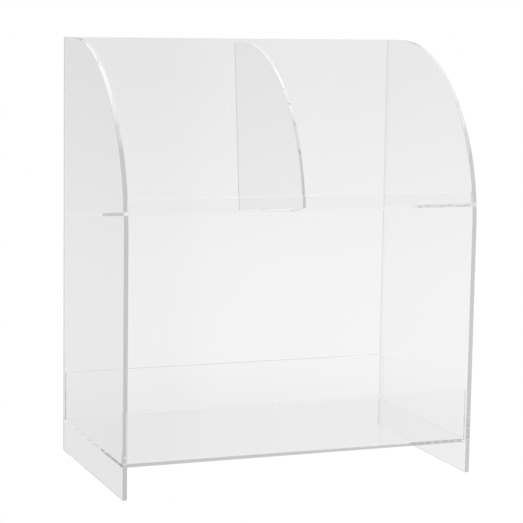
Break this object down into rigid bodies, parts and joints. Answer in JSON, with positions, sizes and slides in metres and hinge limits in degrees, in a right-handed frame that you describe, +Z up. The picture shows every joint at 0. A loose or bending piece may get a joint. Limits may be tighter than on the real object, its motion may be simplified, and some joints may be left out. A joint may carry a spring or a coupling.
{
  "type": "desktop file sorter",
  "caption": "Free-standing desktop file sorter in clear acrylic: lipped open lower bay, sloping upper shelf parted by a centre divider, and side panels with swept front corners.",
  "frame": {"origin": "on the table, at the centre of the footprint of the overall box", "axes": "+Z up, +X to the user's right as they face the sorter, front (the open side with the lips) towards -Y"},
  "size_m": [0.34, 0.198, 0.4],
  "materials": {
    "side_acrylic": "polished",
    "back_acrylic": "polished",
    "shelf_acrylic": "polished",
    "lip_acrylic": "polished",
    "divider_acrylic": "polished"
  },
  "bodies": {
    "root": {"left_side_panel": "side_acrylic", "right_side_panel": "side_acrylic", "back_panel": "back_acrylic", "base_shelf": "shelf_acrylic", "base_front_lip": "lip_acrylic", "base_rear_lip": "lip_acrylic", "upper_shelf": "shelf_acrylic", "upper_front_lip": "lip_acrylic", "centre_divider": "divider_acrylic"}
  },
  "joints": []
}
